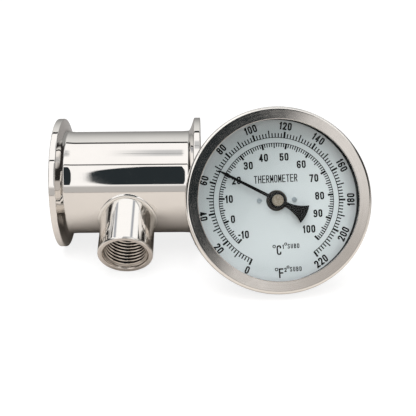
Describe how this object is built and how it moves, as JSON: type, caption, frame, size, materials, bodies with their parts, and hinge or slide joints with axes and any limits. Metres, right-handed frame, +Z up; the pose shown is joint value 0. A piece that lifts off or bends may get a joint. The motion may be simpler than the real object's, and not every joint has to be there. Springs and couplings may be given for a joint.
{
  "type": "inline dial thermometer",
  "caption": "Back-mounted bimetal dial thermometer with threaded connection and stem, lying beside the clamp-ended pipe tee that it screws into.",
  "frame": {"origin": "on the surface that the set lies on, under the middle of its bounding box", "axes": "+X along the tee towards the thermometer, -Y towards the reader of the dial, +Z up"},
  "size_m": [0.1472, 0.1018, 0.0791],
  "materials": {
    "tee_steel": "mirror-polished stainless steel",
    "bezel_steel": "circular satin-brushed stainless steel",
    "case_steel": "satin stainless steel",
    "connection_steel": "machined stainless steel",
    "stem_steel": "drawn stainless steel, satin",
    "dial_screw_steel": "satin steel screw head",
    "lens_glass": "clear flat glass",
    "gasket_rubber": "matt black rubber",
    "spacer_plastic": "matt black plastic",
    "dial_face": "pale blue-grey white enamel with black printed scales",
    "pointer_black": "gloss black paint",
    "hub_nickel": "brushed nickel-plated brass",
    "movement_brass": "turned brass",
    "bimetal": "rolled bimetal strip"
  },
  "bodies": {
    "thermometer_head": {"bezel_ring": "bezel_steel", "lens_gasket": "gasket_rubber", "glass_lens": "lens_glass", "spacer_ring": "spacer_plastic", "case_shell": "case_steel", "case_collar": "case_steel", "connection_bushing": "connection_steel", "stem_tube": "stem_steel", "stem_tip_plug": "stem_steel", "coil_anchor": "movement_brass", "bimetal_coil": "bimetal", "lower_bushing": "movement_brass", "center_post": "movement_brass", "upper_bushing": "movement_brass", "calibration_grommet": "gasket_rubber"},
    "dial_assembly": {"dial_plate": "dial_face", "dial_carrier_gear": "movement_brass", "dial_screw_left": "dial_screw_steel", "dial_screw_right": "dial_screw_steel"},
    "pointer_assembly": {"pointer": "pointer_black", "pointer_bush": "movement_brass", "hub_cap": "hub_nickel", "spindle": "stem_steel"},
    "calibration_drive": {"calibration_screw": "dial_screw_steel", "calibration_pinion": "movement_brass"},
    "pipe_tee": {"spool_tube": "tee_steel", "ferrule_left": "tee_steel", "ferrule_right": "tee_steel", "threaded_boss": "tee_steel"}
  },
  "joints": [
    {"name": "pointer_turn", "type": "hinge", "parent": "thermometer_head", "child": "pointer_assembly", "pos_m": [0.03183, -0.03206, 0.04094], "axis": [-0.0696, 0.9041, -0.4215], "range_deg": [-93.2, 207]},
    {"name": "dial_turn", "type": "hinge", "parent": "thermometer_head", "child": "dial_assembly", "pos_m": [0.03183, -0.03206, 0.04094], "axis": [0.0696, -0.9041, 0.4215], "range_deg": [-12, 12]},
    {"name": "calibration_turn", "type": "hinge", "parent": "thermometer_head", "child": "calibration_drive", "pos_m": [0.03095, -0.02071, 0.06543], "axis": [0.0696, -0.9041, 0.4215], "range_deg": [-60, 60]},
    {"name": "tee_slide", "type": "slide", "parent": "thermometer_head", "child": "pipe_tee", "axis": [-1, 0, 0], "range_m": [0, 0.15]}
  ],
  "couplings": [
    {"joint": "calibration_turn", "follows": "dial_turn", "ratio": -5}
  ]
}
